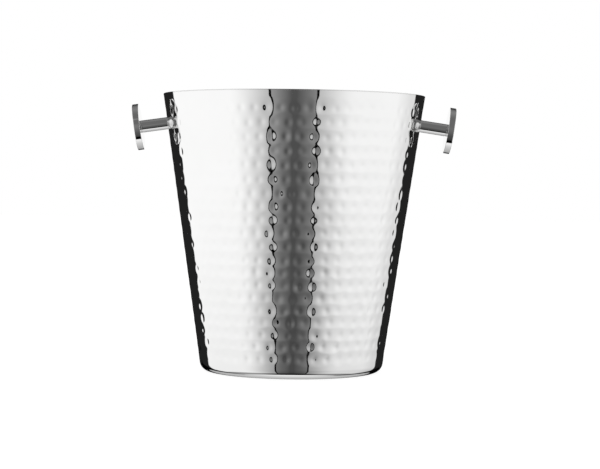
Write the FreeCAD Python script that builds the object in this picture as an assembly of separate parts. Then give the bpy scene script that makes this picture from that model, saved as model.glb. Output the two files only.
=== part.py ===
import FreeCAD, Part
import math
import os

# Champagne bucket: a hammered outer shell, a smooth inner liner and two knob handles.
# Millimetres, +Z up. The origin is the centre of the ring that the bucket stands on.
# The two handles lie along X, each square to the sloping wall.

# Outer shell
height = 228.0
rim_radius = 108.0
base_radius = 74.9          # where the straight wall would meet the table
shell_gauge = 1.0
corner_radius = 8.0
foot_width = 8.0            # flat ring that stands on the table
base_lift = 3.0             # how far the middle of the base is raised
base_bend = 5.0             # bend radius of the raised middle

# Inner liner
liner_gauge = 0.8
cavity = 7.0                # clear space between shell and liner, square to the wall
liner_corner = 14.0         # inside radius where the liner wall meets its floor
flange_bend = 2.4           # inside radius where the flange turns down into the wall
flange_edge = 0.15          # rounding of the flange's outer edge

# Handles
handle_drop = 24.0          # from the rim down to the point where the stem meets the wall
stem_diameter = 10.0
stem_length = 22.0          # from the wall to the disc, along the stem
disc_diameter = 38.0
disc_thickness = 5.0
disc_rounding = 0.3
spigot_diameter = 6.0
spigot_length = 3.5
socket_clearance = 0.2      # space left beyond the end of the spigot

# Handle fastening: M5 button-head screw, lock washer and saddle plate
screw_diameter = 5.0
screw_length = 14.0
screw_chamfer = 0.5
head_diameter = 9.5
head_height = 2.75
hex_key = 3.0               # across flats
hex_depth = 1.6
hole_diameter = 5.5         # clearance hole through shell and plate
tapped_depth = 11.0
drill_point = 118.0         # degrees
washer_outer = 9.2
washer_inner = 5.3
washer_thickness = 1.2
washer_split = 0.8
washer_split_slant = 25.0   # degrees
plate_diameter = 20.0
plate_thickness = 2.0       # at the middle of the saddle
plate_rounding = 0.5

taper = math.atan((rim_radius - base_radius) / height)
handle_z = height - handle_drop


def point(r, z):
    return FreeCAD.Vector(r, 0, z)


def line(start, end):
    return Part.LineSegment(start, end).toShape()


def arc(centre, radius, start_angle, end_angle):
    """Arc in the XZ plane. Angles are in radians, measured from +X towards +Z."""
    ends_and_middle = [
        centre + point(radius * math.cos(angle), radius * math.sin(angle))
        for angle in (start_angle, (start_angle + end_angle) / 2, end_angle)
    ]
    return Part.Arc(*ends_and_middle).toShape()


def end_of(edge):
    return edge.valueAt(edge.LastParameter)


def start_of(edge):
    return edge.valueAt(edge.FirstParameter)


def wall_radius(z, depth):
    """Radius of the straight wall at height z, a given depth inside its outer surface."""
    return base_radius + z * math.tan(taper) - depth / math.cos(taper)


def closed_face(one_side, other_side):
    """Face between two outlines that run the same way, joined at both ends."""
    first_join = line(start_of(one_side[0]), start_of(other_side[0]))
    last_join = line(end_of(one_side[-1]), end_of(other_side[-1]))
    edges = Part.__sortEdges__(one_side + other_side + [first_join, last_join])
    return Part.Face(Part.Wire(edges))


def spin(face):
    return face.revolve(FreeCAD.Vector(0, 0, 0), FreeCAD.Vector(0, 0, 1), 360)


def sheet_outline(depth):
    """Outline of the outer shell from its top edge to the axis, at a depth inside its outer surface."""
    top = height - liner_gauge
    corner_centre = point(wall_radius(corner_radius, corner_radius), corner_radius)
    corner = arc(corner_centre, corner_radius - depth, -taper, -math.pi / 2)
    foot_inner = corner_centre.x - foot_width
    bend_angle = math.acos(1 - base_lift / (2 * base_bend))
    bend_width = base_bend * math.sin(bend_angle)
    upward = arc(
        point(foot_inner, base_bend),
        base_bend - depth,
        -math.pi / 2,
        -math.pi / 2 - bend_angle,
    )
    level = arc(
        point(foot_inner - 2 * bend_width, base_lift - base_bend),
        base_bend + depth,
        math.pi / 2 - bend_angle,
        math.pi / 2,
    )
    wall = line(point(wall_radius(top, depth), top), start_of(corner))
    foot = line(end_of(corner), start_of(upward))
    middle = line(end_of(level), point(0, base_lift + depth))
    return [wall, corner, foot, upward, level, middle]


def liner_outline(depth):
    """Outline of the liner from the flange edge to the axis, at a depth under its visible surface."""
    wall_depth = shell_gauge + cavity + liner_gauge
    floor_z = base_lift + shell_gauge + cavity + liner_gauge
    bend_z = height - flange_bend
    bend_centre = point(wall_radius(bend_z, wall_depth - flange_bend), bend_z)
    bend = arc(bend_centre, flange_bend - depth, math.pi / 2, math.pi - taper)
    corner_z = floor_z + liner_corner
    corner_centre = point(wall_radius(corner_z, wall_depth + liner_corner), corner_z)
    corner = arc(corner_centre, liner_corner + depth, -taper, -math.pi / 2)
    flange = line(point(rim_radius, height - depth), start_of(bend))
    wall = line(end_of(bend), start_of(corner))
    floor = line(end_of(corner), point(0, floor_z - depth))
    return [flange, bend, wall, corner, floor]


def wall_block(depth):
    """Solid that fills the straight wall's cone, a given depth inside its outer surface."""
    return Part.makeCone(wall_radius(0, depth), wall_radius(height, depth), height)


def cylinder(diameter, start, end):
    """Cylinder on the handle axis between two distances from the wall."""
    return Part.makeCylinder(diameter / 2, end - start, FreeCAD.Vector(0, 0, start))


def on_right(solid):
    """Place a solid made on the handle axis: local Z points out of the wall from its outer surface."""
    placed = solid.copy()
    turn = FreeCAD.Rotation(FreeCAD.Vector(0, 1, 0), 90 + math.degrees(taper))
    placed.Placement = FreeCAD.Placement(point(wall_radius(handle_z, 0), handle_z), turn)
    return placed


def on_left(solid):
    turned = solid.copy()
    turned.rotate(FreeCAD.Vector(0, 0, 0), FreeCAD.Vector(0, 0, 1), 180)
    return turned


def rounded_edges(solid, radius, wanted):
    return solid.makeFillet(radius, [edge for edge in solid.Edges if wanted(edge)])


def circle_of(edge, diameter):
    is_circle = isinstance(edge.Curve, Part.Circle)
    return is_circle and math.isclose(edge.Curve.Radius, diameter / 2, abs_tol=1e-6)


def screw_seat():
    """Distance from the wall's outer surface to the underside of the screw head, as a negative number."""
    return -(shell_gauge + plate_thickness + washer_thickness)


def outer_shell():
    shell = spin(closed_face(sheet_outline(0), sheet_outline(shell_gauge)))
    hole = on_right(cylinder(hole_diameter, -3 * shell_gauge, shell_gauge))
    return shell.cut(hole).cut(on_left(hole))


def inner_liner():
    liner = spin(closed_face(liner_outline(0), liner_outline(liner_gauge)))
    return rounded_edges(liner, flange_edge, lambda edge: circle_of(edge, 2 * rim_radius))


def handle_stem():
    """Round bar, shaped at its root to the conical wall, tapped for the screw and spigoted for the disc."""
    bar = cylinder(stem_diameter, -shell_gauge, stem_length)
    spigot = cylinder(spigot_diameter, stem_length, stem_length + spigot_length)
    point_depth = screw_diameter / 2 / math.tan(math.radians(drill_point / 2))
    hole = cylinder(screw_diameter, -shell_gauge, tapped_depth)
    hole_tip = Part.makeCone(screw_diameter / 2, 0, point_depth, FreeCAD.Vector(0, 0, tapped_depth))
    stem = bar.fuse(spigot).cut(hole.fuse(hole_tip))
    return on_right(stem).cut(wall_block(0))


def handle_disc():
    disc = cylinder(disc_diameter, stem_length, stem_length + disc_thickness)
    disc = rounded_edges(disc, disc_rounding, lambda edge: circle_of(edge, disc_diameter))
    socket = cylinder(spigot_diameter, stem_length, stem_length + spigot_length + socket_clearance)
    return on_right(disc.cut(socket))


def backing_plate():
    """Saddle plate: flat towards the cavity, curved to the inside of the shell on its other face."""
    flat_side = -(shell_gauge + plate_thickness)
    plate = cylinder(plate_diameter, flat_side, 0)
    plate = rounded_edges(
        plate,
        plate_rounding,
        lambda edge: circle_of(edge, plate_diameter) and edge.Curve.Center.z < flat_side / 2,
    )
    hole = cylinder(hole_diameter, flat_side, 0)
    return on_right(plate.cut(hole)).common(wall_block(shell_gauge))


def lock_washer():
    """Spring washer, shown closed flat, with its slanting split."""
    seat = screw_seat()
    washer = cylinder(washer_outer, seat, seat + washer_thickness)
    washer = washer.cut(cylinder(washer_inner, seat, seat + washer_thickness))
    reach = washer_outer / 2
    split = Part.makeBox(reach, washer_split, 3 * washer_thickness)
    split.translate(FreeCAD.Vector(0, -washer_split / 2, -1.5 * washer_thickness))
    split.rotate(FreeCAD.Vector(0, 0, 0), FreeCAD.Vector(1, 0, 0), washer_split_slant)
    split.translate(FreeCAD.Vector(0, 0, seat + washer_thickness / 2))
    return on_right(washer.cut(split))


def handle_screw():
    """Button-head screw: domed head with a hexagon socket, plain shank at the thread's outer diameter."""
    seat = screw_seat()
    dome_radius = (head_height ** 2 + (head_diameter / 2) ** 2) / (2 * head_height)
    dome_centre = FreeCAD.Vector(0, 0, seat - head_height + dome_radius)
    head = Part.makeSphere(dome_radius, dome_centre)
    head = head.common(cylinder(head_diameter, seat - head_height, seat))
    shank = cylinder(screw_diameter, seat, seat + screw_length)
    shank = shank.makeChamfer(
        screw_chamfer,
        [edge for edge in shank.Edges if circle_of(edge, screw_diameter) and edge.Curve.Center.z > 0],
    )
    corner_reach = hex_key / math.sqrt(3)
    corners = [
        FreeCAD.Vector(
            corner_reach * math.cos(math.radians(60 * step)),
            corner_reach * math.sin(math.radians(60 * step)),
            seat - head_height,
        )
        for step in range(7)
    ]
    socket = Part.Face(Part.makePolygon(corners)).extrude(FreeCAD.Vector(0, 0, hex_depth))
    return on_right(head.fuse(shank).cut(socket))


def write(name, solid):
    solid = solid.removeSplitter()
    if not solid.isValid() or len(solid.Solids) != 1:
        raise ValueError(name + " is not one valid solid")
    solid.Solids[0].exportStep("parts/" + name + ".step")


os.makedirs("parts", exist_ok=True)
write("outer_shell", outer_shell())
write("inner_liner", inner_liner())
handle_pieces = {
    "handle_disc": handle_disc(),
    "handle_stem": handle_stem(),
    "backing_plate": backing_plate(),
    "lock_washer": lock_washer(),
    "handle_screw": handle_screw(),
}
for piece, solid in handle_pieces.items():
    write("right_" + piece, solid)
    write("left_" + piece, on_left(solid))
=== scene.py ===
import math
import random

import bpy
import numpy as np
from mathutils import Matrix, Vector


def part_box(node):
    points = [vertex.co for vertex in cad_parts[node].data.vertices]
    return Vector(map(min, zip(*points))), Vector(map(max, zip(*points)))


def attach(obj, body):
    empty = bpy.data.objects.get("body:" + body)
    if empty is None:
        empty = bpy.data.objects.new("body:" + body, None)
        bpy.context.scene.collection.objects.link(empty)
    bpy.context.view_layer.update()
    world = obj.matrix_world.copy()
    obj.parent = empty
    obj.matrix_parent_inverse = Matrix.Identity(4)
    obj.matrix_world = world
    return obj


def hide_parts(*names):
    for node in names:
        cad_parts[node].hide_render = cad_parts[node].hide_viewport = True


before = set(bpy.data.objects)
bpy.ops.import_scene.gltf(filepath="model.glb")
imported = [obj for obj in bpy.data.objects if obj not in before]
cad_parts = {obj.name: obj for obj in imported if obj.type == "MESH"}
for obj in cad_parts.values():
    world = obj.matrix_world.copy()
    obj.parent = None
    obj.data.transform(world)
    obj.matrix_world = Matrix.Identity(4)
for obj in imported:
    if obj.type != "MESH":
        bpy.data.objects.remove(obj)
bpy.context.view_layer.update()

# A hammered champagne bucket on a plain white table. Metres, +Z up, handles along X.
# The camera looks along +Y, and "front" below means the side that faces it.

MM = 0.001

# ---------------------------------------------------------------- sizes, as in the CAD model

LINER_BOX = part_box("inner_liner")
RIM_RADIUS = LINER_BOX[1].x
HEIGHT = LINER_BOX[1].z
BASE_RADIUS = 74.9 * MM          # where the straight wall would meet the table
SHELL_GAUGE = 1.0 * MM
CORNER_RADIUS = 8.0 * MM
FOOT_WIDTH = 8.0 * MM
BASE_LIFT = 3.0 * MM
BASE_BEND = 5.0 * MM
LINER_GAUGE = 0.8 * MM
CAVITY = 7.0 * MM
LINER_CORNER = 14.0 * MM
FLANGE_BEND = 2.4 * MM
FLANGE_EDGE = 0.15 * MM          # rounding of the flange's top edge
SEAM = 0.03 * MM                 # eased lower corner of the flange, where it meets the shell
HANDLE_HEIGHT = HEIGHT - 24.0 * MM
STEM_RADIUS = 5.0 * MM
STEM_LENGTH = 22.0 * MM
STEM_CHAMFER = 0.15 * MM
DISC_RADIUS = 19.0 * MM
DISC_THICKNESS = 5.0 * MM
DISC_ROUNDING = 0.3 * MM
TAPER = math.atan((RIM_RADIUS - BASE_RADIUS) / HEIGHT)

# ---------------------------------------------------------------- hammer marks

MARK_SEED = 1
MARK_PITCH = 10.8 * MM           # round the bucket
MARK_ROWS = 20
TOP_ROW = HEIGHT - 14.3 * MM     # middle of the highest row
BOTTOM_ROW = 16.7 * MM           # middle of the lowest row
ROW_CROWDING = 0.09              # how much closer the rows are at the bottom than in the middle
ROW_JITTER = 0.35 * MM
MARK_JITTER = 0.6 * MM
DIP_WIDTH = 1.6 * MM             # distances at which a dip's bell-shaped profile is steepest
DIP_HEIGHT = 2.05 * MM
DIP_DEPTH = 0.24 * MM
DIP_DEPTH_SPREAD = 0.3
DIP_SIZE_SPREAD = 0.1
TROUGH_DEPTH = 0.15 * MM         # the shallow trough that each row is struck into
TROUGH_DEPTH_SPREAD = 0.45
TROUGH_OVERLAP = 1.45            # height of a trough in row spacings
TROUGH_RISE = 0.9 * MM           # how far the trough's middle is above its dips
SWAY = 0.075 * MM                # unevenness along a trough, which makes the ridges between rows wavy
STEM_CLEAR = (5.2 * MM, 7.0 * MM)  # from the middle of a stem's foot: marks begin, and reach full depth

# ---------------------------------------------------------------- mesh fineness

WALL_SEGMENTS = 384
COARSE_SEGMENTS = 128            # for the base and the inside of the shell
WALL_STEP = 0.96 * MM
RIM_SUPPORT = 0.15 * MM          # from the wall's top edge to its next ring
CORNER_STEPS = 9                 # round the outside of the shell's lower corner
PLAIN_STEPS = 5                  # for each bend of the base, and for the corner and wall on the inside
BASE_RING = 0.6                  # a ring in the raised base, as a share of its flat part's radius
LINER_SEGMENTS = 192
LINER_BEND_STEPS = 10
LINER_CORNER_STEPS = 14
LINER_WALL_STEPS = 12
LINER_FLOOR_STEPS = 5
FLANGE_EDGE_STEPS = 4
HANDLE_SEGMENTS = 128
DISC_EDGE_STEPS = 5
STEM_ROOT_RING = 0.1 * MM        # height of the first whole ring of a stem over its curved root
ROOT_ROUNDS = 20                 # more than enough to place the root on the wall exactly
ON_AXIS = 1e-7                   # anything nearer to the axis is a single point
SUPPORTED_LENGTH = 0.45 * MM     # straights longer than this get support points
SUPPORT_GAP = 0.04 * MM          # from a support point to the end of its straight


def wall_radius(z, depth=0.0):
    """Radius of the straight wall at height z, a given depth inside its outer surface."""
    return BASE_RADIUS + z * math.tan(TAPER) - depth / math.cos(TAPER)


def arc(centre, radius, start, end, steps):
    """Points (r, z) of an arc, angles in radians from +r towards +z, both ends included."""
    turns = np.linspace(start, end, steps + 1)
    return [(centre[0] + radius * math.cos(t), centre[1] + radius * math.sin(t)) for t in turns]


def new_object(name, vertices, faces):
    mesh = bpy.data.meshes.new(name)
    mesh.from_pydata([tuple(v) for v in vertices], [], faces)
    mesh.validate()
    mesh.update()
    mesh.shade_smooth()
    piece = bpy.data.objects.new(name, mesh)
    bpy.context.scene.collection.objects.link(piece)
    return piece


def with_edge_support(outline):
    """The outline with a point added near each end of its longer straights, which keeps them flat."""
    supported = [outline[0]]
    for start, end in zip(outline, outline[1:]):
        run = math.dist(start, end)
        if run > SUPPORTED_LENGTH:
            for share in (SUPPORT_GAP / run, 1 - SUPPORT_GAP / run):
                supported.append(tuple(a + (b - a) * share for a, b in zip(start, end)))
        supported.append(end)
    return supported


def ring(r, z, segments):
    turns = np.arange(segments) * 2 * math.pi / segments
    return np.stack([r * np.cos(turns), r * np.sin(turns), np.full(segments, z)], axis=1)


class Lathe:
    """Collects rings of vertices about the Z axis and the faces between them."""

    def __init__(self):
        self.rings = []
        self.vertices = []
        self.faces = []

    def add_ring(self, points):
        first = len(self.vertices)
        self.vertices.extend(points)
        self.rings.append(list(range(first, first + len(points))))
        return self.rings[-1]

    def add_outline(self, outline, segments):
        """Rings for an outline, each joined to the one before. Points on the axis become single vertices."""
        for r, z in outline:
            before = self.rings[-1] if self.rings else None
            if r < ON_AXIS:
                current = self.add_ring([(0.0, 0.0, z)])
            else:
                current = self.add_ring(ring(r, z, segments))
            if before:
                self.join(before, current)

    def join(self, above, below):
        """Faces between two rings, which may have different numbers of vertices, or be a single point."""
        if len(above) == 1 and len(below) == 1:
            return
        if len(above) < len(below):
            self.faces.extend(tuple(reversed(face)) for face in self.faces_between(below, above))
        else:
            self.faces.extend(self.faces_between(above, below))

    @staticmethod
    def faces_between(many, few):
        ratio = len(many) // len(few)
        if len(few) == 1:
            return [(few[0], many[(i + 1) % len(many)], many[i]) for i in range(len(many))]
        faces = []
        for i in range(len(few)):
            upper = [many[(ratio * i + k) % len(many)] for k in range(ratio + 1)]
            faces.append(tuple([few[i], few[(i + 1) % len(few)]] + upper[::-1]))
        return faces

    def close(self):
        """Join the last ring to the first."""
        self.join(self.rings[-1], self.rings[0])


# ---------------------------------------------------------------- hammered shell

def smooth_step(low, high, value):
    share = np.clip((value - low) / (high - low), 0, 1)
    return share * share * (3 - 2 * share)


def smoothly_between(values, step):
    """Values that belong to whole steps round the bucket, blended smoothly in between."""
    before = np.floor(step).astype(int)
    share = smooth_step(0, 1, step - before)
    return values[before % len(values)] * (1 - share) + values[(before + 1) % len(values)] * share


class MarkRow:
    """One row of hammer marks: a shallow trough round the bucket, with a deeper dip at each blow."""

    def __init__(self, z, spacing, draw):
        self.z = z
        self.trough_half = spacing * TROUGH_OVERLAP / 2
        self.radius = wall_radius(self.z)
        self.count = round(2 * math.pi * self.radius / MARK_PITCH)
        self.start = draw.uniform(0, 2 * math.pi)
        self.spacing = 2 * math.pi / self.count
        marks = range(self.count)
        slip = MARK_JITTER / self.radius
        self.angle = np.array([self.start + i * self.spacing + draw.uniform(-slip, slip) for i in marks])
        self.height = np.array([self.z + draw.uniform(-MARK_JITTER, MARK_JITTER) for _ in marks])
        self.size = np.array([1 + draw.uniform(-DIP_SIZE_SPREAD, DIP_SIZE_SPREAD) for _ in marks])
        self.depth = np.array([1 + draw.uniform(-DIP_DEPTH_SPREAD, DIP_DEPTH_SPREAD) for _ in marks])
        self.wobble = np.array([1 + draw.uniform(-TROUGH_DEPTH_SPREAD, TROUGH_DEPTH_SPREAD) for _ in marks])
        self.sway = np.array([draw.uniform(-SWAY, SWAY) for _ in range(2 * self.count)])

    def depth_at(self, angle, z):
        """Depth of this row's marks below the smooth wall at many places."""
        off_middle = (z - self.z - TROUGH_RISE) / self.trough_half
        step = (angle - self.start) / self.spacing
        inside = np.clip(1 - off_middle ** 2, 0, None)
        depth = TROUGH_DEPTH * smoothly_between(self.wobble, step) * inside ** 2
        depth += smoothly_between(self.sway, 2 * step) * (1 - (1 - inside) ** 4)
        nearest = np.round(step).astype(int)
        for neighbour in (-1, 0, 1):
            mark = (nearest + neighbour) % self.count
            turn = (angle - self.angle[mark] + math.pi) % (2 * math.pi) - math.pi
            across = turn * self.radius / (DIP_WIDTH * self.size[mark])
            along = (z - self.height[mark]) / (DIP_HEIGHT * self.size[mark])
            depth += DIP_DEPTH * self.depth[mark] * np.exp(-(across ** 2 + along ** 2) / 2)
        return depth


def mark_rows():
    draw = random.Random(MARK_SEED)
    shares = [i / (MARK_ROWS - 1) for i in range(MARK_ROWS)]
    crowded = [share + ROW_CROWDING * share * (1 - share) for share in shares]
    heights = [TOP_ROW + (BOTTOM_ROW - TOP_ROW) * share for share in crowded]
    pitch = -np.gradient(heights)
    return [
        MarkRow(z + draw.uniform(-ROW_JITTER, ROW_JITTER), spacing, draw)
        for z, spacing in zip(heights, pitch)
    ]


def stem_clearance(points):
    """0 under a handle stem, rising to 1 where the hammer marks are at their full depth."""
    stem_foot = np.array([wall_radius(HANDLE_HEIGHT), 0, HANDLE_HEIGHT])
    mirrored = points.copy()
    mirrored[:, 0] = np.abs(mirrored[:, 0])
    return smooth_step(*STEM_CLEAR, np.linalg.norm(mirrored - stem_foot, axis=1))


def hammer(points):
    """Push the points of the smooth wall inwards, square to it, by the depth of the hammer marks."""
    points = np.array(points)
    angle = np.arctan2(points[:, 1], points[:, 0])
    z = points[:, 2]
    depth = np.zeros(len(points))
    for row in mark_rows():
        depth = np.maximum(depth, row.depth_at(angle, z))
    depth *= stem_clearance(points)
    level = math.cos(TAPER)
    rise = np.full(len(points), math.sin(TAPER))
    inward = np.stack([-np.cos(angle) * level, -np.sin(angle) * level, rise], axis=1)
    return points + inward * depth[:, None]


def wall_heights():
    """Heights of the rings of the hammered wall, from its top edge down to the corner's start."""
    top = HEIGHT - LINER_GAUGE
    bottom = CORNER_RADIUS * (1 - math.sin(TAPER))
    steps = round((top - RIM_SUPPORT - bottom) / WALL_STEP)
    return [top] + list(np.linspace(top - RIM_SUPPORT, bottom, steps + 1))


def shell_underside(depth):
    """Outline of the base from the end of the lower corner to the axis, at a depth under its surface."""
    foot_inner = wall_radius(CORNER_RADIUS, CORNER_RADIUS) - FOOT_WIDTH
    bend = math.acos(1 - BASE_LIFT / (2 * BASE_BEND))
    reach = BASE_BEND * math.sin(bend)
    up_centre = (foot_inner, BASE_BEND)
    up = arc(up_centre, BASE_BEND - depth, -math.pi / 2, -math.pi / 2 - bend, PLAIN_STEPS)
    level_centre = (foot_inner - 2 * reach, BASE_LIFT - BASE_BEND)
    level = arc(level_centre, BASE_BEND + depth, math.pi / 2 - bend, math.pi / 2, PLAIN_STEPS)
    flat_radius, flat_z = level[-1]
    return up + level[1:] + [(BASE_RING * flat_radius, flat_z), (0.0, BASE_LIFT + depth)]


def shell_corner(depth, steps):
    """Outline of the rounded lower corner from the wall to the base, at a depth under its surface."""
    centre = (wall_radius(CORNER_RADIUS, CORNER_RADIUS), CORNER_RADIUS)
    return arc(centre, CORNER_RADIUS - depth, -TAPER, -math.pi / 2, steps)


def keep_sharp(mesh, ring_vertices):
    """Leave the edges of one ring of vertices sharp, both in shading and under smoothing."""
    crease = mesh.attributes.new("crease_edge", "FLOAT", "EDGE")
    for edge in mesh.edges:
        if ring_vertices.issuperset(edge.vertices):
            edge.use_edge_sharp = True
            crease.data[edge.index].value = 1.0


def build_shell():
    """Outer shell: a finely meshed, hammered outside, and a plain inside that nothing shows."""
    lathe = Lathe()
    lathe.add_outline([(wall_radius(z), z) for z in wall_heights()], WALL_SEGMENTS)
    lathe.vertices = list(hammer(lathe.vertices))
    lathe.add_outline(shell_corner(0.0, CORNER_STEPS)[1:], WALL_SEGMENTS)
    lathe.add_outline(shell_underside(0.0), COARSE_SEGMENTS)
    lathe.add_outline(shell_underside(SHELL_GAUGE)[::-1], COARSE_SEGMENTS)
    lathe.add_outline(shell_corner(SHELL_GAUGE, PLAIN_STEPS)[::-1], COARSE_SEGMENTS)
    inside = np.linspace(CORNER_RADIUS, HEIGHT - LINER_GAUGE, PLAIN_STEPS + 1)[1:]
    lathe.add_outline([(wall_radius(z, SHELL_GAUGE), z) for z in inside], COARSE_SEGMENTS)
    lathe.close()
    shell = new_object("hammered_shell", lathe.vertices, lathe.faces)
    keep_sharp(shell.data, set(lathe.rings[0]))
    return shell


# ---------------------------------------------------------------- liner

def liner_outline(depth):
    """Outline of the liner from the flange to the axis, at a depth under its visible surface."""
    wall_depth = SHELL_GAUGE + CAVITY + LINER_GAUGE
    floor_z = BASE_LIFT + wall_depth
    bend_z = HEIGHT - FLANGE_BEND
    bend_centre = (wall_radius(bend_z, wall_depth - FLANGE_BEND), bend_z)
    bend = arc(bend_centre, FLANGE_BEND - depth, math.pi / 2, math.pi - TAPER, LINER_BEND_STEPS)
    corner_z = floor_z + LINER_CORNER
    corner_centre = (wall_radius(corner_z, wall_depth + LINER_CORNER), corner_z)
    corner = arc(corner_centre, LINER_CORNER + depth, -TAPER, -math.pi / 2, LINER_CORNER_STEPS)
    wall = np.linspace(bend[-1], corner[0], LINER_WALL_STEPS + 1)[1:-1]
    floor = np.linspace((corner[-1][0], floor_z - depth), (0.0, floor_z - depth), LINER_FLOOR_STEPS + 1)[1:]
    return bend + [tuple(point) for point in wall] + corner + [tuple(point) for point in floor]


def build_liner():
    """Smooth inner cup with its flat rim flange, whose outer edge is slightly rounded."""
    edge_r = RIM_RADIUS - FLANGE_EDGE
    top_edge = arc((edge_r, HEIGHT - FLANGE_EDGE), FLANGE_EDGE, 0, math.pi / 2, FLANGE_EDGE_STEPS)
    low_edge = [(RIM_RADIUS - SEAM, HEIGHT - LINER_GAUGE), (RIM_RADIUS, HEIGHT - LINER_GAUGE + SEAM)]
    outline = low_edge + top_edge + liner_outline(0.0) + liner_outline(LINER_GAUGE)[::-1] + low_edge[:1]
    lathe = Lathe()
    lathe.add_outline(with_edge_support(outline)[:-1], LINER_SEGMENTS)
    lathe.close()
    return new_object("liner_cup", lathe.vertices, lathe.faces)


# ---------------------------------------------------------------- handles

def handle_matrix(side):
    """Place of a handle: local Z runs out along the stem, from the wall. Side is 1 right, -1 left."""
    foot = Vector((wall_radius(HANDLE_HEIGHT), 0, HANDLE_HEIGHT))
    tilt = Matrix.Rotation(math.pi / 2 + TAPER, 4, "Y")
    half_turn = Matrix.Rotation(0 if side > 0 else math.pi, 4, "Z")
    return half_turn @ Matrix.Translation(foot) @ tilt


def stem_foot_rise(x, y):
    """Local height of the conical wall at a place (x, y) across the stem, found in ever smaller steps."""
    matrix = handle_matrix(1)
    rise = 0.0
    for _ in range(ROOT_ROUNDS):
        place = matrix @ Vector((x, y, rise))
        gap = (math.hypot(place.x, place.y) - wall_radius(place.z)) * math.cos(TAPER)
        rise -= gap
    return rise


def build_stem(side):
    """Round bar whose root follows the conical wall."""
    lathe = Lathe()
    root = ring(STEM_RADIUS, 0.0, HANDLE_SEGMENTS)
    root[:, 2] = [stem_foot_rise(x, y) for x, y, _ in root]
    lathe.add_ring([(0.0, 0.0, 0.0)])
    lathe.add_ring(root)
    lathe.join(lathe.rings[0], lathe.rings[1])
    outline = [(STEM_RADIUS, STEM_ROOT_RING), (STEM_RADIUS, STEM_LENGTH - STEM_CHAMFER)]
    outline += [(STEM_RADIUS - STEM_CHAMFER, STEM_LENGTH), (0.0, STEM_LENGTH)]
    lathe.add_outline(with_edge_support(outline), HANDLE_SEGMENTS)
    return place_handle_piece(lathe, side, "stem")


def build_disc(side):
    """Coin-shaped end with crisp, slightly eased edges."""
    near = STEM_LENGTH
    far = STEM_LENGTH + DISC_THICKNESS
    eased = DISC_RADIUS - DISC_ROUNDING
    near_edge = arc((eased, near + DISC_ROUNDING), DISC_ROUNDING, -math.pi / 2, 0, DISC_EDGE_STEPS)
    far_edge = arc((eased, far - DISC_ROUNDING), DISC_ROUNDING, 0, math.pi / 2, DISC_EDGE_STEPS)
    outline = [(0.0, near)] + near_edge + far_edge + [(0.0, far)]
    lathe = Lathe()
    lathe.add_outline(with_edge_support(outline), HANDLE_SEGMENTS)
    return place_handle_piece(lathe, side, "disc")


def place_handle_piece(lathe, side, word):
    matrix = handle_matrix(side)
    name = ("right" if side > 0 else "left") + "_" + word
    return new_object(name, [matrix @ Vector(v) for v in lathe.vertices], lathe.faces)


# ---------------------------------------------------------------- materials

NOISE_RANGE = (0.3, 0.7)
MIRROR_TINTS = ((0.845, 0.845, 0.84, 1), (0.885, 0.885, 0.885, 1))
MIRROR_ROUGHNESS = (0.02, 0.045)
MIRROR_WAVES = 0.0012 * MM                   # height of the polish's waviness
SATIN_TINTS = ((0.70, 0.70, 0.695, 1), (0.76, 0.76, 0.755, 1))
SATIN_ROUGHNESS = (0.24, 0.34)
GROOVE_DEPTH = 0.01 * MM
GROOVE_TURN = 0.0004                         # how slowly grooves change round the axis, metres a radian
FLANGE_POLISH = (HEIGHT - 3.0 * MM, HEIGHT - 1.5 * MM)  # between these heights satin gives way to polish
FLANGE_ROUGHNESS = 0.05
FASTENER_TINTS = ((0.48, 0.48, 0.47, 1), (0.60, 0.60, 0.59, 1))
FASTENER_ROUGHNESS = (0.3, 0.45)
TABLE_TINTS = ((0.30, 0.30, 0.30, 1), (0.32, 0.32, 0.32, 1))
TABLE_GLOW = 0.80
WHITE = (1, 1, 1, 1)


class Tree:
    """Short names for adding nodes to a node tree."""

    def __init__(self, tree):
        self.tree = tree
        tree.nodes.clear()

    def node(self, kind, **settings):
        made = self.tree.nodes.new(kind)
        for name, value in settings.items():
            setattr(made, name, value)
        return made

    def put(self, value, socket):
        if isinstance(value, bpy.types.NodeSocket):
            self.tree.links.new(value, socket)
        else:
            socket.default_value = value

    def math(self, operation, *values):
        made = self.node("ShaderNodeMath", operation=operation)
        for value, socket in zip(values, made.inputs):
            self.put(value, socket)
        return made.outputs[0]

    def add(self, first, second):
        return self.math("ADD", first, second)

    def times(self, first, second):
        return self.math("MULTIPLY", first, second)

    def rest(self, share):
        """What a share leaves over of 1."""
        return self.math("SUBTRACT", 1, share)

    def map(self, value, source, target=(0, 1), smooth=False):
        """Number that goes along the target range as value goes along the source range, and stays in it."""
        kind = "SMOOTHSTEP" if smooth else "LINEAR"
        made = self.node("ShaderNodeMapRange", interpolation_type=kind)
        for item, socket in zip((value, *source, *target), made.inputs):
            self.put(item, socket)
        return made.outputs[0]

    def blend(self, share, first, second):
        """Number that goes from first to second as share goes from 0 to 1."""
        made = self.node("ShaderNodeMix", data_type="FLOAT")
        self.put(share, made.inputs["Factor"])
        self.put(first, made.inputs["A"])
        self.put(second, made.inputs["B"])
        return made.outputs["Result"]

    def curve(self, value, stops):
        """Value looked up on a line through (place, level) stops."""
        low = stops[0][0]
        high = stops[-1][0]
        made = self.node("ShaderNodeValToRGB")
        self.put(self.map(value, (low, high)), made.inputs[0])
        points = made.color_ramp.elements
        while len(points) < len(stops):
            points.new(0.5)
        for point, (place, level) in zip(points, stops):
            point.position = (place - low) / (high - low)
            point.color = (level, level, level, 1)
        return made.outputs[0]


def noise(tree, coordinates, scale, detail, roughness=0.5):
    """Cloudy pattern, mostly within NOISE_RANGE. Scale is in patches per metre."""
    made = tree.node("ShaderNodeTexNoise")
    tree.put(coordinates, made.inputs["Vector"])
    tree.put(scale, made.inputs["Scale"])
    tree.put(detail, made.inputs["Detail"])
    tree.put(roughness, made.inputs["Roughness"])
    return made.outputs["Fac"]


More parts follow.
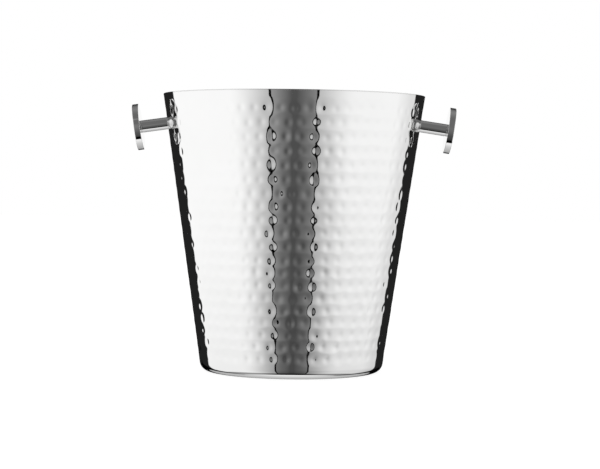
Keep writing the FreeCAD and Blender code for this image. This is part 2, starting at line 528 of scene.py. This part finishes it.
def new_material(name):
    material = bpy.data.materials.new(name)
    material.use_nodes = True
    tree = Tree(material.node_tree)
    shader = tree.node("ShaderNodeBsdfPrincipled")
    output = tree.node("ShaderNodeOutputMaterial")
    tree.put(shader.outputs[0], output.inputs["Surface"])
    place = tree.node("ShaderNodeTexCoord").outputs["Object"]
    return material, tree, shader, place


def tint(tree, share, tints):
    """Colour between a darker and a lighter grey."""
    made = tree.node("ShaderNodeMix", data_type="RGBA")
    tree.put(share, made.inputs["Factor"])
    for colour, socket in zip(tints, made.inputs[6:8]):
        tree.put(colour, socket)
    return made.outputs[2]


def bump(tree, height, distance, strength):
    made = tree.node("ShaderNodeBump")
    tree.put(height, made.inputs["Height"])
    tree.put(distance, made.inputs["Distance"])
    tree.put(strength, made.inputs["Strength"])
    return made.outputs["Normal"]


def polished_steel(name):
    """Mirror-polished steel: faint cloudiness and the slight waviness of a hand-polished sheet."""
    material, tree, shader, place = new_material(name)
    clouds = noise(tree, place, scale=35, detail=3)
    waviness = noise(tree, place, scale=500, detail=2)
    shader.inputs["Metallic"].default_value = 1.0
    tree.put(tint(tree, clouds, MIRROR_TINTS), shader.inputs["Base Color"])
    tree.put(tree.map(clouds, NOISE_RANGE, MIRROR_ROUGHNESS), shader.inputs["Roughness"])
    tree.put(bump(tree, waviness, distance=MIRROR_WAVES, strength=1.0), shader.inputs["Normal"])
    return material


def satin_steel(name):
    """Satin-brushed steel: fine grooves round the axis on the wall and floor, and a polished flange."""
    material, tree, shader, place = new_material(name)
    parts = tree.node("ShaderNodeSeparateXYZ")
    tree.put(place, parts.inputs[0])
    x, y, z = parts.outputs
    radius = tree.math("SQRT", tree.add(tree.times(x, x), tree.times(y, y)))
    groove_place = tree.node("ShaderNodeCombineXYZ")
    tree.put(tree.add(radius, z), groove_place.inputs[0])
    tree.put(tree.times(tree.math("ARCTAN2", y, x), GROOVE_TURN), groove_place.inputs[1])
    grooves = noise(tree, groove_place.outputs[0], scale=2600, detail=3, roughness=0.65)
    clouds = noise(tree, place, scale=40, detail=2)
    shader.inputs["Metallic"].default_value = 1.0
    tree.put(tint(tree, clouds, SATIN_TINTS), shader.inputs["Base Color"])
    satin_roughness = tree.map(grooves, NOISE_RANGE, SATIN_ROUGHNESS)
    on_flange = tree.map(z, FLANGE_POLISH)
    tree.put(tree.blend(on_flange, satin_roughness, FLANGE_ROUGHNESS), shader.inputs["Roughness"])
    tree.put(bump(tree, grooves, distance=GROOVE_DEPTH, strength=0.6), shader.inputs["Normal"])
    return material


def plain_steel(name):
    """Unpolished zinc-grey fastener steel."""
    material, tree, shader, place = new_material(name)
    mottle = noise(tree, place, scale=900, detail=4)
    shader.inputs["Metallic"].default_value = 1.0
    tree.put(tint(tree, mottle, FASTENER_TINTS), shader.inputs["Base Color"])
    tree.put(tree.map(mottle, NOISE_RANGE, FASTENER_ROUGHNESS), shader.inputs["Roughness"])
    return material


# ---------------------------------------------------------------- studio

TENT_CENTRE = Vector((0.30, 0.0, 0.11))      # set off to the right, so the tent's left wall is near
TENT_HALF_SIZE = Vector((0.70, 2.5, 1.2))
TENT_STEPS = 64                              # from pole to pole
TABLE_HALF_SIZE = 6.0

# The tent's light depends on the direction from the bucket: degrees round it from the front, positive to the
# right, and degrees of elevation. A pair of them is where a change begins and where it is complete.

LANE_MIDDLE = 0.095                          # brightness of the dim gap in which the camera stands
LANE_RISE = (2, 20)                          # round: the lane brightens from its middle to its edges
LANE_EDGE = 20.1                             # round: the thin black edges of the lane
LANE_EDGE_WIDTH = 2.0
LANE_EDGE_BLUR = 0.2
LANE_BLEND = 1.0                             # round: from the lane's light to a panel's
LANE_EDGE_TOP = (10, 20)                     # elevation: the black edges end
LANE_TOP = (2, 22)                           # elevation: the lane ends
LANE_FOOT = (-62, -28)                       # elevation: the lane brightens upwards from its dim foot
LANE_FOOT_SHARE = 0.30
LANE_DRIFT_START = -8                        # elevation: below it the lane drifts to the right
LANE_DRIFT = 0.05                            # degrees per degree
LANE_DRIFT_LIMIT = 1.0
PANEL_RISE = (10, 55)                        # round: the white panels brighten away from the lane
PANEL_TOP = (26, 46)                         # elevation: the panels end
PANEL_END_LEFT = -120
PANEL_END_RIGHT = 128
PANEL_END_BLUR = 2.0
RIGHT_END = (98, 120)                        # round: the right panel dims towards its end
RIGHT_END_LIGHT = 0.8

# Low down, the tent loses a share of its light, which differs from place to place round the bucket.
FOOT_LOSS = (-2, -28)                        # elevation
FOOT_LOSS_POWER = 1.6
LANE_LOSS_PLACE = (0, 12)                    # round
LANE_LOSS = (0.28, 0.52)
PANEL_LOSS_PLACE = (20, 60)                  # round

# Light on each side of the camera: at the lane's edge, on the panel near to the lane and far from it, and
# the share that the panel loses at its foot, near to the lane and far from it.
LEFT_SIDE = {"lane": 0.36, "near": 0.47, "far": 1.09, "foot_near": 0.35, "foot_far": 0.10}
RIGHT_SIDE = {"lane": 0.29, "near": 0.55, "far": 1.04, "foot_near": 0.52, "foot_far": 0.26}

UPPER_LIGHT = 0.15
DARK_ROOM = 0.017                            # behind the panels
SLIVER = (174, 176)                          # round: a bright sliver at the very back of the dark room
SLIVER_TOP = (12, 16)                        # elevation
CEILING_LIGHT = 0.26
CEILING_LEAN = math.radians(15)              # the ceiling light hangs a little behind the bucket
CEILING_EDGE = (8, 46)                       # degrees from the middle of the ceiling light

# The table is lit from the front: brightness by the direction's y part, from the front (-1) to the back (1).
TABLE_LIGHT = [(-1.0, 1.0), (-0.4, 1.0), (0.0, 0.7), (1.0, 0.35)]
TABLE_EDGE_PLACE = (100, 150)                # round: the table's edge is low in front, higher at the back
TABLE_EDGE = (-63, -32)                      # elevation
TABLE_EDGE_BLUR = 1.0
GAP_RISE = 8                                 # degrees from the table's edge up to the dark gap over it
GAP_EDGE = (6.0, 8.5)                        # degrees from the gap's middle
# Share of the light that the gap takes away, by degrees round.
GAP_STRENGTH = [(0, 0.95), (18, 0.95), (45, 0.65), (85, 0.65), (120, 0.95), (180, 0.95)]


def about(middle, width):
    """Range of a width about its middle."""
    return (middle - width / 2, middle + width / 2)


def direction_to(tree, place):
    """The three parts of the unit vector from the middle of the bucket to a place on the tent."""
    from_middle = tree.node("ShaderNodeVectorMath", operation="SUBTRACT")
    tree.put(place, from_middle.inputs[0])
    tree.put((0.0, 0.0, TENT_CENTRE.z), from_middle.inputs[1])
    direction = tree.node("ShaderNodeVectorMath", operation="NORMALIZE")
    tree.put(from_middle.outputs[0], direction.inputs[0])
    parts = tree.node("ShaderNodeSeparateXYZ")
    tree.put(direction.outputs[0], parts.inputs[0])
    return parts.outputs


def wall_light(tree, around, elevation):
    """Brightness of the dim lane in front and of the white panels on both sides of it."""
    off_lane = tree.math("ABSOLUTE", around)
    on_right = tree.math("GREATER_THAN", around, 0)
    side = {word: tree.blend(on_right, LEFT_SIDE[word], RIGHT_SIDE[word]) for word in LEFT_SIDE}
    in_lane = tree.map(off_lane, (LANE_EDGE, LANE_EDGE + LANE_BLEND), (1, 0))
    lane = tree.map(off_lane, LANE_RISE, (LANE_MIDDLE, side["lane"]))
    panel = tree.map(off_lane, PANEL_RISE, (side["near"], side["far"]), smooth=True)
    panel = tree.times(panel, tree.map(around, RIGHT_END, (1, RIGHT_END_LIGHT)))
    lane_loss = tree.map(off_lane, LANE_LOSS_PLACE, LANE_LOSS)
    panel_loss = tree.map(off_lane, PANEL_LOSS_PLACE, (side["foot_near"], side["foot_far"]))
    low_down = tree.math("POWER", tree.map(elevation, FOOT_LOSS), FOOT_LOSS_POWER)
    loss = tree.times(tree.blend(in_lane, panel_loss, lane_loss), low_down)
    walls = tree.times(tree.blend(in_lane, panel, lane), tree.rest(loss))
    lane_foot = tree.map(elevation, LANE_FOOT, (LANE_FOOT_SHARE, 1), smooth=True)
    walls = tree.times(walls, tree.blend(in_lane, 1.0, lane_foot))
    lane_top = tree.map(elevation, LANE_TOP, smooth=True)
    panel_top = tree.map(elevation, PANEL_TOP, smooth=True)
    walls = tree.blend(tree.blend(in_lane, panel_top, lane_top), walls, UPPER_LIGHT)
    from_edge = tree.math("ABSOLUTE", tree.math("SUBTRACT", off_lane, LANE_EDGE))
    on_edge = tree.map(from_edge, about(LANE_EDGE_WIDTH / 2, LANE_EDGE_BLUR), (1, 0))
    on_edge = tree.times(on_edge, tree.map(elevation, LANE_EDGE_TOP, (1, 0)))
    return tree.times(walls, tree.rest(on_edge))


def with_dark_room(tree, walls, around, elevation):
    """The walls' light, with the dark room in place of it past the ends of the panels."""
    past_left = tree.map(around, about(PANEL_END_LEFT, PANEL_END_BLUR), (1, 0), smooth=True)
    past_right = tree.map(around, about(PANEL_END_RIGHT, PANEL_END_BLUR), smooth=True)
    at_back = tree.map(tree.math("ABSOLUTE", around), SLIVER)
    sliver = tree.times(at_back, tree.map(elevation, SLIVER_TOP, (1, 0)))
    return tree.blend(tree.add(past_left, past_right), walls, tree.blend(sliver, DARK_ROOM, 1.0))


def with_ceiling(tree, walls, y, z):
    """The walls' light, with the round ceiling light over it."""
    toward_ceiling = tree.add(
        tree.times(y, math.sin(CEILING_LEAN)),
        tree.times(z, math.cos(CEILING_LEAN)),
    )
    from_ceiling = tree.times(tree.math("ARCCOSINE", toward_ceiling), math.degrees(1))
    return tree.blend(tree.map(from_ceiling, CEILING_EDGE, (1, 0), smooth=True), walls, CEILING_LIGHT)


def with_table(tree, walls, around, elevation, y):
    """The walls' light, with the lit table under it and a dark gap between the two."""
    off_lane = tree.math("ABSOLUTE", around)
    table_edge = tree.map(off_lane, TABLE_EDGE_PLACE, TABLE_EDGE, smooth=True)
    under_edge = tree.math("SUBTRACT", table_edge, elevation)
    from_gap = tree.math("ABSOLUTE", tree.add(under_edge, GAP_RISE))
    in_gap = tree.map(from_gap, GAP_EDGE, (1, 0), smooth=True)
    walls = tree.times(walls, tree.rest(tree.times(in_gap, tree.curve(off_lane, GAP_STRENGTH))))
    on_table = tree.map(under_edge, about(0, TABLE_EDGE_BLUR))
    return tree.blend(on_table, walls, tree.curve(y, TABLE_LIGHT))


def tent_brightness(tree, place):
    """Brightness at a place on the tent."""
    x, y, z = direction_to(tree, place)
    elevation = tree.times(tree.math("ARCSINE", z), math.degrees(1))
    from_front = tree.times(tree.math("ARCTAN2", x, tree.times(y, -1)), math.degrees(1))
    drift = tree.times(tree.math("SUBTRACT", elevation, LANE_DRIFT_START), LANE_DRIFT)
    drift = tree.math("MAXIMUM", tree.math("MINIMUM", drift, 0), -LANE_DRIFT_LIMIT)
    around = tree.add(from_front, drift)
    light = wall_light(tree, around, elevation)
    light = with_dark_room(tree, light, around, elevation)
    light = with_ceiling(tree, light, y, z)
    return with_table(tree, light, around, elevation, y)


def light_tent():
    """Egg-shaped light tent round the whole set, seen only in reflections."""
    lathe = Lathe()
    lathe.add_outline(arc((0, 0), 1, -math.pi / 2, math.pi / 2, TENT_STEPS), 2 * TENT_STEPS)
    vertices = np.array(lathe.vertices) * np.array(TENT_HALF_SIZE) + np.array(TENT_CENTRE)
    tent = new_object("light_tent", vertices, lathe.faces)
    material = bpy.data.materials.new("tent_light")
    material.use_nodes = True
    material.cycles.emission_sampling = "NONE"
    tree = Tree(material.node_tree)
    glow = tree.node("ShaderNodeEmission")
    place = tree.node("ShaderNodeTexCoord").outputs["Object"]
    tree.put(tent_brightness(tree, place), glow.inputs["Color"])
    output = tree.node("ShaderNodeOutputMaterial")
    tree.put(glow.outputs[0], output.inputs["Surface"])
    tent.data.materials.append(material)
    tent.visible_camera = False
    tent.visible_diffuse = False
    tent.visible_shadow = False


def soft_surroundings():
    """Even white light for the table, and a white background."""
    world = bpy.data.worlds.new("studio")
    bpy.context.scene.world = world
    world.use_nodes = True
    tree = Tree(world.node_tree)
    background = tree.node("ShaderNodeBackground")
    background.inputs["Color"].default_value = WHITE
    background.inputs["Strength"].default_value = 1.0
    output = tree.node("ShaderNodeOutputWorld")
    tree.put(background.outputs[0], output.inputs["Surface"])


def white_table():
    """White table top. The metal mirrors the tent's table light, so this one is not in reflections."""
    half = TABLE_HALF_SIZE
    corners = [(-half, -half, 0), (half, -half, 0), (half, half, 0), (-half, half, 0)]
    table = new_object("table", corners, [(0, 1, 2, 3)])
    material = bpy.data.materials.new("white_table")
    material.use_nodes = True
    tree = Tree(material.node_tree)
    grain = noise(tree, tree.node("ShaderNodeTexCoord").outputs["Object"], scale=30, detail=2)
    matte = tree.node("ShaderNodeBsdfDiffuse")
    tree.put(tint(tree, grain, TABLE_TINTS), matte.inputs["Color"])
    glow = tree.node("ShaderNodeEmission")
    glow.inputs["Color"].default_value = WHITE
    glow.inputs["Strength"].default_value = TABLE_GLOW
    both = tree.node("ShaderNodeAddShader")
    tree.put(matte.outputs[0], both.inputs[0])
    tree.put(glow.outputs[0], both.inputs[1])
    output = tree.node("ShaderNodeOutputMaterial")
    tree.put(both.outputs[0], output.inputs["Surface"])
    table.data.materials.append(material)
    table.visible_glossy = False


def place_camera():
    """Camera a metre and a half in front, lower than the rim, turned and tipped very slightly."""
    distance = 1.488
    eye_height = 0.1568
    turn_right = math.radians(0.232)
    look_down = math.radians(1.683)
    roll = math.radians(0.705)
    sensor_width = 36.0
    focal_length = 107.65
    data = bpy.data.cameras.new("camera")
    data.sensor_width = sensor_width
    data.lens = focal_length
    camera = bpy.data.objects.new("camera", data)
    bpy.context.scene.collection.objects.link(camera)
    heading = Matrix.Rotation(-turn_right, 4, "Z") @ Matrix.Rotation(math.pi / 2 - look_down, 4, "X")
    camera.matrix_world = (
        Matrix.Translation((0, -distance, eye_height)) @ heading @ Matrix.Rotation(roll, 4, "Z")
    )
    bpy.context.scene.camera = camera


def finish_piece(piece, material, node):
    piece.data.materials.append(material)
    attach(piece, "root")
    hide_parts(node)


def add_render_smoothing(piece):
    """One more level of smoothing in renders, so that reflections in the hammer marks run smoothly."""
    smoothing = piece.modifiers.new("smoothing", "SUBSURF")
    smoothing.levels = 0
    smoothing.render_levels = 1


scene = bpy.context.scene
scene.view_settings.view_transform = "Standard"
scene.view_settings.look = "None"

mirror = polished_steel("mirror_steel")
satin = satin_steel("satin_steel")
fastener = plain_steel("fastener_steel")

shell = build_shell()
add_render_smoothing(shell)
finish_piece(shell, mirror, "outer_shell")
finish_piece(build_liner(), satin, "inner_liner")
for side, word in ((1, "right"), (-1, "left")):
    finish_piece(build_stem(side), mirror, word + "_handle_stem")
    finish_piece(build_disc(side), mirror, word + "_handle_disc")
    for hidden in ("backing_plate", "lock_washer", "handle_screw"):
        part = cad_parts[word + "_" + hidden]
        part.data.materials.clear()
        part.data.materials.append(fastener)

light_tent()
soft_surroundings()
white_table()
place_camera()
